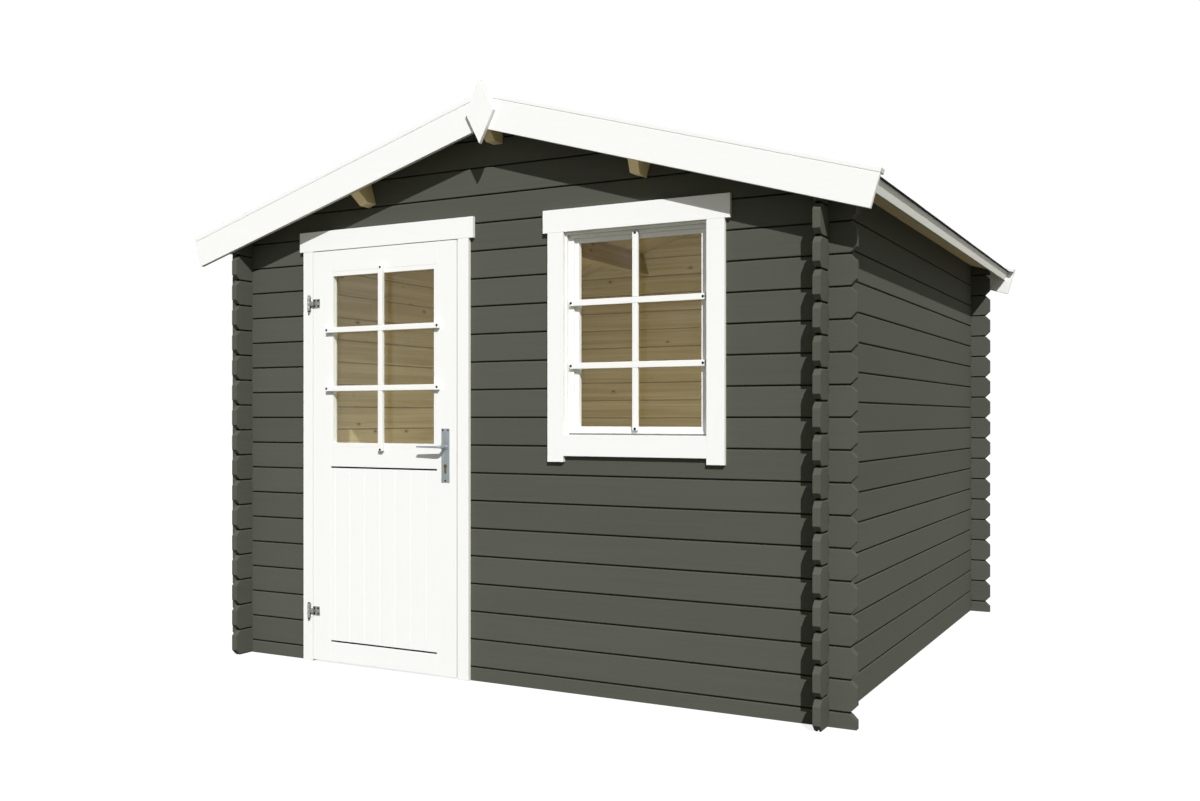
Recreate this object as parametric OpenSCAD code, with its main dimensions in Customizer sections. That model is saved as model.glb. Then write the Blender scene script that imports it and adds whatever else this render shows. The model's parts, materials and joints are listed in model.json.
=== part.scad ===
// Garden shed of interlocking logs with a glazed door, a window and a felted gable roof.
// Millimetres. +Z is up, the front with the door faces -Y, +X is to the right seen from the front.
// The origin is on the ground at the middle of the footprint.

/* [Log walls] */
// outside width and depth of the square log walls
wall_out = 2780; // [2400:10:4000]
// thickness of a log
log_t = 28; // [24:1:44]
// height of one course of logs
course = 115; // [105:1:135]
// number of courses in the side walls
side_courses = 17; // [16:1:19]
// how far the log ends stand past the walls
log_end = 100; // [70:1:160]
// bevel on the top and bottom of a log end
end_bevel = 25; // [10:1:35]
// vee along the edges of a log
log_vee = 5; // [1:0.5:6]
// width of the tongue on top of a log
tongue_w = 8; // [5:0.5:12]
// height of the tongue on top of a log
tongue_h = 7; // [4:0.5:10]
// play of the tongue in its groove
tongue_fit = 0.5; // [0.2:0.1:1.5]
// seam left between one log and the next, and around a notch
log_seam = 0.3; // [0.1:0.1:1]

/* [Roof] */
// slope of the roof in degrees
pitch = 16.3; // [12:0.1:22]
// how far the roof boards reach past the side walls
eave_over = 162; // [130:1:300]
// how far the bargeboards and the strips on them reach past the eave
verge_over = 49; // [0:1:80]
// thickness of the roof boards
board_t = 19; // [15:1:26]
// thickness of the roof felt
felt_t = 3; // [2:0.5:6]
// clearance between the layers of the roof
layer_gap = 0.1; // [0.1:0.1:0.8]
// how much the roof slope takes off the top log's outer edge
wall_trim = 2; // [1:0.5:6]
// width of a purlin
purlin_w = 45; // [35:1:70]
// depth of a purlin
purlin_d = 145; // [110:1:180]
// distance of the side purlins from the ridge
purlin_x = 695; // [550:1:850]
// bevel under the purlin ends
purlin_bevel = 45; // [20:1:70]
// play around a purlin where it passes through the gable
purlin_fit = 0.5; // [0.2:0.1:2]
// width of a bargeboard
barge_w = 122; // [90:1:160]
// thickness of a bargeboard
barge_t = 18; // [14:1:25]
// width of the strip on top of the verge
strip_w = 50; // [35:1:80]
// thickness of the strip on top of the verge
strip_t = 20; // [12:1:30]
// height of the lath on the ends of the roof boards
lath_h = 49; // [30:1:80]
// thickness of that lath
lath_t = 16; // [12:1:25]
// height of the diamond at the gable top
finial_h = 258; // [180:1:320]
// width of the diamond at the gable top
finial_w = 135; // [90:1:180]
// thickness of the diamond at the gable top
finial_t = 18; // [12:1:25]
// how far the diamond's middle sits below the top of the bargeboards
finial_drop = 64; // [30:1:110]

/* [Doorway] */
// middle of the door, left of the shed's middle
door_x = -583; // [-700:1:-500]
// width of the door leaf
leaf_w = 780; // [700:1:900]
// thickness of the door leaf
leaf_t = 40; // [34:1:48]
// free gap around the door leaf
door_gap = 5; // [5:0.5:8]
// gap under the door leaf
leaf_lift = 8; // [5:0.5:20]
// number of whole front courses that the doorway and window top out with
open_courses = 16; // [15:1:17]
// width of a door jamb seen from the front
jamb_w = 40; // [30:1:60]
// height of the board over the door
head_h = 58.5; // [45:0.5:80]
// play of a frame in its opening in the logs
frame_fit = 1; // [0.5:0.5:4]
// thickness of the casings
casing_t = 18; // [14:1:24]
// width of the door's side casings
door_casing_w = 54.5; // [50:0.5:90]
// height of the door's head casing
door_casing_h = 88; // [70:1:110]
// how far a head casing reaches past the side casings
casing_ear = 22; // [5:1:40]
// how far the inner casings reach behind the leaf
stop_w = 18; // [12:1:30]

/* [Door leaf] */
// width of a door stile
stile_w = 100; // [85:1:120]
// height of the bottom rail
low_rail = 88; // [70:1:120]
// height of the bottom edge of the middle rail
mid_z = 876; // [800:1:940]
// height of the middle rail
mid_rail = 86; // [70:1:110]
// height of the top rail
top_rail = 93; // [75:1:120]
// thickness of the boarded panel
panel_t = 16; // [12:1:20]
// width of a panel board
panel_board = 83; // [60:1:120]
// width of the first panel board, cut to fit
panel_first = 26; // [15:1:60]
// depth of the vee between panel boards
panel_vee = 1.5; // [1:0.5:4]
// how far the panel's face lies behind the leaf's face
panel_back = 1.5; // [0.5:0.5:6]
// height of the slot above and below the panel's face
panel_slot = 7; // [4:0.5:12]
// thickness of the tongue around the panel
panel_tongue = 8; // [5:0.5:10]
// depth of the groove that holds the tongue
panel_seat = 8; // [5:0.5:12]
// play of the panel in its groove
panel_fit = 0.4; // [0.2:0.1:1]
// width of the beads beside the door glass
bead_w = 15.5; // [10:0.5:24]
// height of the beads above and below the door glass
bead_h = 19.5; // [12:0.5:28]
// how far the door glass lies behind the leaf's face
pane_in = 22; // [14:0.5:26]
// width and thickness of the beads behind the door glass
back_bead = 9; // [6:0.5:11]
// thickness of a pane
glass_t = 4; // [3:0.5:6]

/* [Hinges and handle] */
// middle of the lower hinge above the ground
hinge_low = 227; // [180:1:300]
// middle of the upper hinge above the ground
hinge_high = 1604; // [1450:1:1650]
// height of a hinge
hinge_h = 75; // [60:1:100]
// distance of the hinge pin from the leaf's edge
pin_out = 17; // [14:0.5:20]
// radius of the hinge barrel
barrel_r = 6.5; // [5:0.5:8]
// radius of the hinge pin
pin_r = 3; // [2.5:0.1:4]
// height of the middle knuckle, on the leaf
knuckle_h = 22; // [16:1:30]
// gap between two knuckles of a hinge
barrel_gap = 1; // [0.5:0.5:2]
// running play of the pin
pin_play = 0.1; // [0.05:0.05:0.3]
// width of the hinge plate on the casing
plate_w = 19; // [15:1:24]
// thickness of the hinge plates
plate_t = 3; // [2:0.5:4]
// play between hinge barrel and plate
plate_play = 1.5; // [1:0.5:3]
// width of the hinge plate on the leaf
leaf_plate_w = 38; // [30:1:50]
// height of the hinge plate on the leaf
leaf_plate_h = 46; // [34:1:55]
// how far the hinge's arm lies on that plate
arm_lap = 8; // [4:1:16]
// distance of the lever's pivot from the leaf's edge
backset = 55; // [45:1:65]
// height of the lever's pivot above the ground
lever_z = 970; // [920:1:1010]
// length of the lever
lever_l = 120; // [100:1:140]
// how far the lever stands off the leaf
lever_out = 52; // [45:1:65]
// depth of the lever's blade at the pivot
blade_d = 20; // [14:1:24]
// depth of the lever's blade at the tip
blade_tip = 12; // [8:1:16]
// thickness of the lever's blade
blade_t = 9; // [6:1:12]
// radius of the lever's neck
neck_r = 8; // [6:0.5:10]
// how far the lever's neck ends short of the leaf
neck_gap = 0.5; // [0.3:0.1:1.5]
// radius of the spindle
spindle_r = 4; // [3:0.5:5]
// running play of the lever's neck in its plate
neck_play = 0.5; // [0.3:0.1:1]
// radius of the bore for the spindle
bore_r = 10; // [9:0.5:13]
// width of the lock plate
lock_w = 40; // [30:1:50]
// height of the lock plate
lock_h = 226; // [200:1:250]
// how far the lock plate reaches above the pivot
lock_up = 77; // [60:1:90]
// thickness of the lock plate
lock_t = 2.5; // [1.5:0.5:4]

/* [Window] */
// middle of the window, right of the shed's middle
win_x = 625; // [560:1:720]
// width of the window's opening in the logs
win_w = 728; // [600:1:800]
// number of whole front courses under the window
sill_courses = 8; // [7:1:10]
// width of the window's side casings
win_casing_w = 72; // [60:1:95]
// how far the casings lap over the logs
casing_lap = 14; // [10:1:30]
// height of the window's head casing
win_casing_h = 91; // [70:1:110]
// how far the head casing starts below the top of the opening
win_head_lap = 70; // [50:1:90]
// how far the side casings hang below the opening
win_casing_tail = 61; // [30:1:80]
// height of the apron under the window
apron_h = 84; // [60:1:100]
// how far the apron stands up over the opening's bottom
apron_up = 47; // [35:1:55]
// height of the frame's bottom piece
frame_low = 46; // [38:1:65]
// height of the frame's top piece
frame_top = 79; // [65:1:95]
// width of the frame's upright pieces
frame_side = 65; // [55:1:80]
// depth of the window frame
frame_d = 48; // [40:1:60]
// how far the sash's face lies behind the wall's face
sash_back = 17; // [12:1:26]
// depth of the rebate that the sash sits in
sash_rebate = 8; // [5:0.5:12]
// thickness of the sash
sash_t = 34; // [28:1:40]
// width of the sash's left upright piece
sash_left = 48.5; // [34:0.5:60]
// width of the sash's right upright piece
sash_right = 38; // [34:0.5:60]
// height of the sash's bottom piece
sash_low = 41; // [34:1:60]
// height of the sash's top piece
sash_top = 40; // [32:1:60]
// height of the drip rebate under the sash's front edge
drip_h = 6.5; // [3:0.5:10]
// depth of the drip rebate
drip_d = 12; // [6:0.5:16]
// width of the step around the light of the sash
step_w = 18; // [8:1:24]
// depth of the step around the light of the sash
step_d = 4.5; // [2:0.5:8]
// bevel of the sash around its pane
sash_bevel = 9; // [4:0.5:12]
// how far the window glass lies behind the sash's face
glass_in = 29; // [14:0.5:29.5]
// depth of the rebate that the glass sits in
glass_seat = 10; // [6:0.5:14]
// play of the sash and glass in their rebates
sash_fit = 0.5; // [0.3:0.1:1]

/* [Floor] */
// width and height of a floor bearer
bearer = 45; // [35:1:70]
// number of floor bearers
bearers = 5; // [3:1:8]
// thickness of the floor boards
floor_t = 19; // [15:1:28]
// gap between the floor and the walls
floor_gap = 4; // [2:1:10]

/* [Part] */
// the sub-part to draw

/* [Hidden] */
$fn = 48;
// how far a cutter runs past the faces it cuts
past = 1;
paint = [0.34, 0.35, 0.31];
pine = [0.72, 0.58, 0.38];
white = [0.95, 0.95, 0.93];
black = [0.06, 0.06, 0.06];
steel = [0.62, 0.65, 0.67];
clear = [0.75, 0.85, 0.85, 0.35];
half = wall_out / 2;
log_span = half + log_end;
face_y = -half;
back_y = face_y + log_t;
quarter = course / 4;
groove_w = tongue_w + tongue_fit;
groove_d = tongue_h + tongue_fit;
rise = tan(pitch);
sn = sin(pitch);
cs = cos(pitch);
side_top = side_courses * course;
under_z = side_top - wall_trim + rise * half;
board_z = under_z + board_t / cs;
felt_z0 = board_z + layer_gap / cs;
felt_z = felt_z0 + felt_t / cs;
eave_x = half + eave_over;
eave_z = board_z - rise * eave_x;
tip_x = eave_x + (layer_gap + felt_t) * sn;
tip_z = eave_z + (layer_gap + felt_t) * cs;
open_z = (open_courses + 0.5) * course;
gable_courses = ceil((under_z - open_z - groove_d - log_vee) / course);
door_half = leaf_w / 2 + door_gap + jamb_w + frame_fit;
door_l = door_x - door_half;
door_r = door_x + door_half;
head_z = open_z - frame_fit - head_h;
leaf_top = head_z - door_gap;
leaf_y = face_y - casing_t;
leaf_back = leaf_y + leaf_t;
leaf_l = door_x - leaf_w / 2;
leaf_r = door_x + leaf_w / 2;
stop_y = max(back_y, leaf_back + door_gap);
casing_y = face_y - casing_t;
rail_l = leaf_l + stile_w;
rail_r = leaf_r - stile_w;
low_z = leaf_lift + low_rail;
glass_z0 = mid_z + mid_rail;
glass_z1 = leaf_top - top_rail;
panel_y = leaf_y + panel_back;
tongue_y = panel_y + panel_t - panel_tongue;
seat_y = tongue_y - panel_fit;
seat_w = panel_tongue + 2 * panel_fit;
seat_d = panel_seat + panel_fit;
pane_y = leaf_y + pane_in;
hinge_x = leaf_l - pin_out;
hinge_y = casing_y - plate_t - plate_play - barrel_r;
lever_x = leaf_r - backset;
win_l = win_x - win_w / 2;
win_r = win_x + win_w / 2;
win_z = (sill_courses + 0.5) * course;
frame_l = win_l + frame_fit;
frame_r = win_r - frame_fit;
frame_z0 = win_z + frame_fit;
frame_z1 = open_z - frame_fit;
light_l = frame_l + frame_side;
light_r = frame_r - frame_side;
light_z0 = frame_z0 + frame_low;
light_z1 = frame_z1 - frame_top;
sash_y = face_y + sash_back;
sash_l = light_l - sash_rebate;
sash_r = light_r + sash_rebate;
sash_z0 = light_z0 - sash_rebate;
sash_z1 = light_z1 + sash_rebate;
daylight_l = sash_l + sash_left;
daylight_r = sash_r - sash_right;
daylight_z0 = sash_z0 + sash_low;
daylight_z1 = sash_z1 - sash_top;
wglass_y = sash_y + glass_in;
floor_z = bearer + floor_t;
inside = half - log_t - floor_gap;

function roof_under(x) = under_z - rise * abs(x);

module box(x0, x1, y0, y1, z0, z1) {
  translate([x0, y0, z0])
    cube([x1 - x0, y1 - y0, z1 - z0]);
}

// a shape drawn in X and Z, from y0 to y1
module slab_y(y0, y1) {
  translate([0, y1, 0])
    rotate([90, 0, 0])
      linear_extrude(y1 - y0)
        children();
}

// the section of a log: vees on the four edges, a groove below and a tongue on top
module log_section(h, grooved, tongued) {
  e = log_t / 2;
  low = grooved
    ? [[-e, log_vee], [-e + log_vee, 0], [-groove_w / 2, 0], [-groove_w / 2, groove_d],
       [groove_w / 2, groove_d], [groove_w / 2, 0], [e - log_vee, 0], [e, log_vee]]
    : [[-e, 0], [e, 0]];
  high = tongued
    ? [[e, h - log_vee], [e - log_vee, h], [tongue_w / 2, h], [tongue_w / 2, h + tongue_h],
       [-tongue_w / 2, h + tongue_h], [-tongue_w / 2, h], [-e + log_vee, h], [-e, h - log_vee]]
    : [[e, h], [-e, h]];
  polygon(concat(low, high));
}

// the side view of a log: a notch above and below at each corner end, and bevelled tips
module log_side(a, b, h, corner_a, corner_b, cut_low) {
  bev = end_bevel;
  cutl = cut_low ? quarter : 0;
  bevl = cut_low ? end_bevel : 0;
  na = a + log_end - log_seam;
  nb = a + log_end + log_t + log_seam;
  ma = b - log_end - log_t - log_seam;
  mb = b - log_end + log_seam;
  top = h + tongue_h;
  low_a = corner_a ? [[a, bevl], [a + bevl, 0], [na, 0], [na, cutl], [nb, cutl], [nb, 0]] : [[a, 0]];
  low_b = corner_b ? [[ma, 0], [ma, cutl], [mb, cutl], [mb, 0], [b - bevl, 0], [b, bevl]] : [[b, 0]];
  top_b = corner_b
    ? [[b, h - bev], [b - bev - tongue_h, top], [mb, top], [mb, h - quarter], [ma, h - quarter], [ma, top]]
    : [[b, top]];
  top_a = corner_a
    ? [[nb, top], [nb, h - quarter], [na, h - quarter], [na, top], [a + bev + tongue_h, top], [a, h - bev]]
    : [[a, top]];
  polygon(concat(low_a, low_b, top_b, top_a));
}

// one log along X from a to b with its lower edge at z0
module log_x(a, b, z0, h, corner_a, corner_b, grooved, tongued) {
  lift = grooved ? log_seam : 0;
  translate([0, 0, z0 + lift])
    intersection() {
      translate([a, 0, 0])
        rotate([90, 0, 90])
          linear_extrude(b - a)
            log_section(h - lift, grooved, tongued);
      slab_y(-log_t, log_t)
        log_side(a, b, h - lift, corner_a, corner_b, grooved);
    }
}

// the courses of a front or back wall from a to b
module wall_x(a, b, corner_a, corner_b, first, last) {
  for (k = [first:last]) {
    z0 = k == 0 ? 0 : (k - 0.5) * course;
    h = k == 0 ? course / 2 : course;
    log_x(a, b, z0, h, corner_a, corner_b, k > 0, true);
  }
}

// everything below the underside of the roof
module below_roof() {
  far = eave_x + log_end;
  slab_y(-log_t, log_t)
    polygon([[-far, 0], [far, 0], [far, roof_under(far) - log_seam], [0, under_z - log_seam],
      [-far, roof_under(far) - log_seam]]);
}

// one gable log, cut to the roof slope and let out round the purlins
module gable_log(k) {
  z0 = (k - 0.5) * course + log_seam;
  last = k == open_courses + gable_courses;
  h = last ? under_z - z0 : course - log_seam;
  cut = quarter - log_seam;
  n0 = half + log_seam;
  n1 = half - log_t - log_seam;
  difference() {
    intersection() {
      translate([-log_span, 0, z0])
        rotate([90, 0, 90])
          linear_extrude(2 * log_span)
            log_section(h, true, !last);
      below_roof();
    }
    if (k == open_courses + 1)
      for (s = [-1, 1])
        translate([s * (n0 + n1) / 2, 0, z0])
          cube([n0 - n1, 2 * log_t, 2 * cut], center = true);
    purlin_room();
  }
}

module gable() {
  for (k = [open_courses + 1:open_courses + gable_courses])
    gable_log(k);
}

// a purlin's side view along Y, its top at z = 0
module purlin_side(d) {
  b = purlin_bevel;
  l = log_span;
  polygon([[-l + b, -d], [l - b, -d], [l, -d + b], [l, 0], [-l, 0], [-l, -d + b]]);
}

// a plain bar at each purlin, for the notches in the gables
module purlin_room() {
  f = purlin_fit;
  box(-purlin_w / 2 - f, purlin_w / 2 + f, -log_t, log_t, under_z - purlin_d - f, board_z);
  for (s = [-1, 1])
    translate([s * purlin_x, 0, roof_under(purlin_x)])
      rotate([0, s * pitch, 0])
        box(-purlin_w / 2 - f, purlin_w / 2 + f, -log_t, log_t, -purlin_d - f, board_t);
}

// a band along the right-hand roof slope, from the line z_top at the ridge down by t; it ends square,
// over past the felt's edge and raised by out
module slope_band(z_top, t, gap, over, out) {
  x1 = tip_x + over + out * sn;
  z1 = tip_z - rise * over + out * cs;
  z0 = z_top - rise * gap;
  polygon([[gap, z0], [x1, z1], [x1 - t * sn, z1 - t * cs], [gap, z0 - t / cs]]);
}

module both_sides() {
  for (s = [0, 1])
    mirror([s, 0, 0])
      children();
}

module left_wall_logs() {
  color(paint)
    translate([-half + log_t / 2, 0, 0])
      side_wall(1);
}

module right_wall_logs() {
  color(paint)
    translate([half - log_t / 2, 0, 0])
      side_wall(-1);
}

// the courses of a side wall; the top one follows the roof slope, which falls to the outside
module side_wall(s) {
  x0 = half - log_t / 2;
  for (k = [0:side_courses - 2])
    rotate([0, 0, 90])
      log_side_wall(k, 0);
  intersection() {
    rotate([0, 0, 90])
      log_side_wall(side_courses - 1, quarter);
    slab_y(-log_span - past, log_span + past)
      polygon([[-log_t, 0], [log_t, 0],
        [log_t, roof_under(x0 - s * log_t) - log_seam],
        [-log_t, roof_under(x0 + s * log_t) - log_seam]]);
  }
}

// one log of a side wall; the lowest lies on the ground and is notched there too
module log_side_wall(k, extra) {
  lift = k == 0 ? 0 : log_seam;
  h = course - lift;
  translate([0, 0, k * course + lift])
    intersection() {
      translate([-log_span, 0, 0])
        rotate([90, 0, 90])
          linear_extrude(2 * log_span)
            log_section(h + extra, true, extra == 0);
      slab_y(-log_t, log_t)
        if (extra == 0)
          log_side(-log_span, log_span, h, true, true, true);
        else
          top_log_side(h, extra);
    }
}

// the side view of the top log of a side wall: notched above and below, bevelled below only
module top_log_side(h, extra) {
  b = log_span;
  bev = end_bevel;
  ma = b - log_end - log_t - log_seam;
  mb = b - log_end + log_seam;
  t = h + extra;
  c = h - quarter;
  polygon([[-b, bev], [-b + bev, 0], [-mb, 0], [-mb, quarter], [-ma, quarter], [-ma, 0],
    [ma, 0], [ma, quarter], [mb, quarter], [mb, 0], [b - bev, 0], [b, bev],
    [b, t], [mb, t], [mb, c], [ma, c], [ma, t],
    [-ma, t], [-ma, c], [-mb, c], [-mb, t], [-b, t]]);
}

module back_wall_logs() {
  color(paint)
    translate([0, half - log_t / 2, 0])
      wall_x(-log_span, log_span, true, true, 0, open_courses);
}

module back_gable_logs() {
  color(paint)
    translate([0, half - log_t / 2, 0])
      gable();
}

module logs_left_of_door() {
  color(paint)
    translate([0, face_y + log_t / 2, 0])
      wall_x(-log_span, door_l, true, false, 0, open_courses);
}

module logs_below_window() {
  color(paint)
    difference() {
      translate([0, face_y + log_t / 2, 0])
        wall_x(door_r, log_span, false, true, 0, sill_courses);
      box(win_l, win_r, face_y - past, back_y + past, win_z, win_z + course / 2);
    }
}

module logs_beside_door() {
  color(paint)
    translate([0, face_y + log_t / 2, 0])
      wall_x(door_r, win_l, false, false, sill_courses + 1, open_courses);
}

module logs_right_of_window() {
  color(paint)
    translate([0, face_y + log_t / 2, 0])
      wall_x(win_r, log_span, false, true, sill_courses + 1, open_courses);
}

module front_gable_logs() {
  color(paint)
    translate([0, face_y + log_t / 2, 0])
      gable();
}

module ridge_purlin() {
  w = purlin_w / 2;
  g = layer_gap / cs;
  color(pine)
    intersection() {
      slab_y(-log_span, log_span)
        polygon([[-w, under_z - purlin_d], [w, under_z - purlin_d], [w, roof_under(w) - g],
          [0, under_z - g], [-w, roof_under(w) - g]]);
      translate([-purlin_w, 0, under_z])
        rotate([90, 0, 90])
          linear_extrude(2 * purlin_w)
            purlin_side(purlin_d);
    }
}

module side_purlins() {
  color(pine)
    both_sides()
      translate([purlin_x, 0, roof_under(purlin_x)])
        rotate([0, pitch, 0])
          translate([-purlin_w / 2, 0, -layer_gap])
            rotate([90, 0, 90])
              linear_extrude(purlin_w)
                purlin_side(purlin_d - layer_gap);
}

module roof_slope() {
  slab_y(-log_span, log_span)
    polygon([[0, under_z], [0, board_z], [eave_x, eave_z], [eave_x - board_t * sn, eave_z - board_t * cs]]);
}

module left_roof_boards() {
  color(pine)
    mirror([1, 0, 0])
      roof_slope();
}

module right_roof_boards() {
  color(pine)
    roof_slope();
}

// one sheet on each slope, with a seam along the ridge
module roof_felt() {
  color(black)
    both_sides()
      slab_y(-log_span, log_span)
        slope_band(felt_z, felt_t, log_seam, (layer_gap + lath_t) * cs, 0);
}

module barge_pair() {
  both_sides()
    slab_y(-log_span - barge_t, -log_span)
      slope_band(felt_z, barge_w, log_seam, verge_over, 0);
}

module strip_pair() {
  lift = layer_gap + strip_t;
  both_sides()
    slab_y(-log_span - barge_t, -log_span - barge_t + strip_w)
      slope_band(felt_z + lift / cs, strip_t, log_seam, verge_over, lift);
}

module front_bargeboards() {
  color(white)
    barge_pair();
}

module back_bargeboards() {
  color(white)
    mirror([0, 1, 0])
      barge_pair();
}

module front_verge_strips() {
  color(white)
    strip_pair();
}

module back_verge_strips() {
  color(white)
    mirror([0, 1, 0])
      strip_pair();
}

module gable_diamonds() {
  z = felt_z - finial_drop;
  y = log_span + barge_t;
  color(white)
    for (s = [0, 1])
      mirror([0, s, 0])
        slab_y(-y - finial_t, -y)
          polygon([[0, z - finial_h / 2], [finial_w / 2, z], [0, z + finial_h / 2], [-finial_w / 2, z]]);
}

module eave_laths() {
  x0 = eave_x + layer_gap * cs;
  z0 = eave_z - layer_gap * sn;
  x1 = x0 + lath_t * cs;
  z1 = z0 - lath_t * sn;
  dx = lath_h * sn;
  dz = lath_h * cs;
  color(white)
    both_sides()
      slab_y(-log_span, log_span)
        polygon([[x0, z0], [x1, z1], [x1 - dx, z1 - dz], [x0 - dx, z0 - dz]]);
}

module door_hinge_jamb() {
  color(white)
    box(door_l + frame_fit, leaf_l - door_gap, face_y, back_y, 0, head_z + head_h);
}

module door_latch_jamb() {
  color(white)
    box(leaf_r + door_gap, door_r - frame_fit, face_y, back_y, 0, head_z + head_h);
}

module door_head() {
  color(white)
    box(leaf_l - door_gap, leaf_r + door_gap, face_y, back_y, head_z, head_z + head_h);
}

module door_threshold() {
  color(pine)
    box(leaf_l + stop_w, leaf_r - stop_w, stop_y, stop_y + casing_t, 0, floor_z);
}

module door_side_casings() {
  color(white) {
    box(leaf_l - door_gap - door_casing_w, leaf_l - door_gap, casing_y, face_y, 0, head_z);
    box(leaf_r + door_gap, leaf_r + door_gap + door_casing_w, casing_y, face_y, 0, head_z);
  }
}

module door_head_casing() {
  reach = door_gap + door_casing_w + casing_ear;
  color(white)
    box(leaf_l - reach, leaf_r + reach, casing_y, face_y, head_z, head_z + door_casing_h);
}

// the inner casings lap behind the leaf and stop it
module door_inner_casings() {
  out = door_gap + door_casing_w;
  top = leaf_top - stop_w;
  color(white) {
    box(leaf_l - out, leaf_l + stop_w, stop_y, stop_y + casing_t, 0, top - log_seam);
    box(leaf_r - stop_w, leaf_r + out, stop_y, stop_y + casing_t, 0, top - log_seam);
    box(leaf_l - out, leaf_r + out, stop_y, stop_y + casing_t, top, head_z + door_casing_h);
  }
}

// the fixed half of a hinge: a plate on the casing, the outer knuckles and the pin
module hinge_plates() {
  color(steel)
    for (z = [hinge_low, hinge_high])
      translate([hinge_x, hinge_y, z]) {
        y1 = casing_y - hinge_y;
        k = knuckle_h / 2 + barrel_gap;
        e = hinge_h / 2;
        union() {
          translate([0, 0, -e])
            cylinder(r = pin_r, h = hinge_h);
          for (z0 = [-e, k]) {
            translate([0, 0, z0])
              cylinder(r = barrel_r, h = e - k);
            box(-pin_r, pin_r, 0, y1, z0, z0 + e - k);
          }
          box(-plate_w + pin_r, pin_r, y1 - plate_t, y1, -e, e);
        }
      }
}

// the moving half of a hinge: the middle knuckle, its arm and a plate on the leaf
module hinge_leaves() {
  color(steel)
    for (z = [hinge_low, hinge_high])
      translate([hinge_x, hinge_y, z]) {
        y1 = casing_y - hinge_y;
        k = knuckle_h / 2;
        e = leaf_plate_h / 2;
        difference() {
          union() {
            translate([0, 0, -k])
              cylinder(r = barrel_r, h = knuckle_h);
            box(0, pin_out + arm_lap, 0, y1 - plate_t - plate_play, -k, k);
            box(pin_out, pin_out + arm_lap, 0, y1, -k, k);
            box(pin_out, pin_out + leaf_plate_w, y1 - plate_t, y1, -e, e);
          }
          translate([0, 0, -k - past])
            cylinder(r = pin_r + pin_play, h = knuckle_h + 2 * past);
        }
      }
}

module door_stiles() {
  color(white)
    difference() {
      union() {
        box(leaf_l, rail_l, leaf_y, leaf_back, leaf_lift, leaf_top);
        box(rail_r, leaf_r, leaf_y, leaf_back, leaf_lift, leaf_top);
      }
      box(rail_l - seat_d, rail_r + seat_d, seat_y, seat_y + seat_w, low_z - seat_d, mid_z + seat_d);
      translate([lever_x, leaf_back + past, lever_z])
        rotate([90, 0, 0])
          cylinder(r = bore_r, h = leaf_t + 2 * past);
    }
}

module door_rails() {
  color(white) {
    difference() {
      union() {
        box(rail_l, rail_r, leaf_y, leaf_back, leaf_lift, low_z);
        box(rail_l, rail_r, leaf_y, leaf_back, mid_z, glass_z0);
      }
      box(rail_l - past, rail_r + past, seat_y, seat_y + seat_w, low_z - seat_d, mid_z + seat_d);
    }
    box(rail_l, rail_r, leaf_y, leaf_back, glass_z1, leaf_top);
  }
}

// the panel seen from above, from x0 to x1 and y0 to y1, with a vee at each board joint along y_vee
module panel_plan(x0, x1, y0, y1, y_vee) {
  difference() {
    translate([x0, y0])
      square([x1 - x0, y1 - y0]);
    for (x = [rail_l + panel_first:panel_board:rail_r - panel_vee])
      translate([x, y_vee])
        rotate(45)
          square(panel_vee * sqrt(2), center = true);
  }
}

// upright boards with a vee between each two, front and back, and a tongue all round
module door_panel() {
  f = panel_fit;
  s = panel_seat;
  y1 = panel_y + panel_t;
  color(white) {
    translate([0, 0, low_z + panel_slot])
      linear_extrude(mid_z - low_z - 2 * panel_slot)
        panel_plan(rail_l + f, rail_r - f, panel_y, tongue_y + past, panel_y);
    translate([0, 0, low_z - s])
      linear_extrude(mid_z - low_z + 2 * s)
        panel_plan(rail_l - s, rail_r + s, tongue_y, y1, y1);
  }
}

// wide beads in front of the glass, flush with the leaf's face, and small ones behind it
module door_beads() {
  y1 = pane_y + glass_t;
  color(white) {
    difference() {
      box(rail_l, rail_r, leaf_y, pane_y, glass_z0, glass_z1);
      box(rail_l + bead_w, rail_r - bead_w, leaf_y - past, pane_y + past,
        glass_z0 + bead_h, glass_z1 - bead_h);
    }
    difference() {
      box(rail_l, rail_r, y1, y1 + back_bead, glass_z0, glass_z1);
      box(rail_l + back_bead, rail_r - back_bead, y1 - past, y1 + back_bead + past,
        glass_z0 + back_bead, glass_z1 - back_bead);
    }
  }
}

module door_glass() {
  f = sash_fit;
  color(clear)
    box(rail_l + f, rail_r - f, pane_y, pane_y + glass_t, glass_z0 + f, glass_z1 - f);
}

module lock_plates() {
  z0 = lever_z + lock_up - lock_h;
  color(steel)
    difference() {
      union() {
        box(lever_x - lock_w / 2, lever_x + lock_w / 2, leaf_y - lock_t, leaf_y, z0, z0 + lock_h);
        box(lever_x - lock_w / 2, lever_x + lock_w / 2, leaf_back, leaf_back + lock_t, z0, z0 + lock_h);
      }
      translate([lever_x, leaf_back + lock_t + past, lever_z])
        rotate([90, 0, 0])
          cylinder(r = neck_r + neck_play, h = leaf_t + 2 * (lock_t + past));
    }
}

// one lever seen from above: the neck's end, then the blade tapering to its tip
module blade() {
  translate([0, 0, -blade_t / 2])
    linear_extrude(blade_t)
      polygon([[neck_r, -lever_out], [neck_r, -lever_out + blade_d],
        [-neck_r, -lever_out + blade_d], [-lever_l, -lever_out + (blade_d + blade_tip) / 2],
        [-lever_l, -lever_out + (blade_d - blade_tip) / 2], [-neck_r, -lever_out]]);
}

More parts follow.
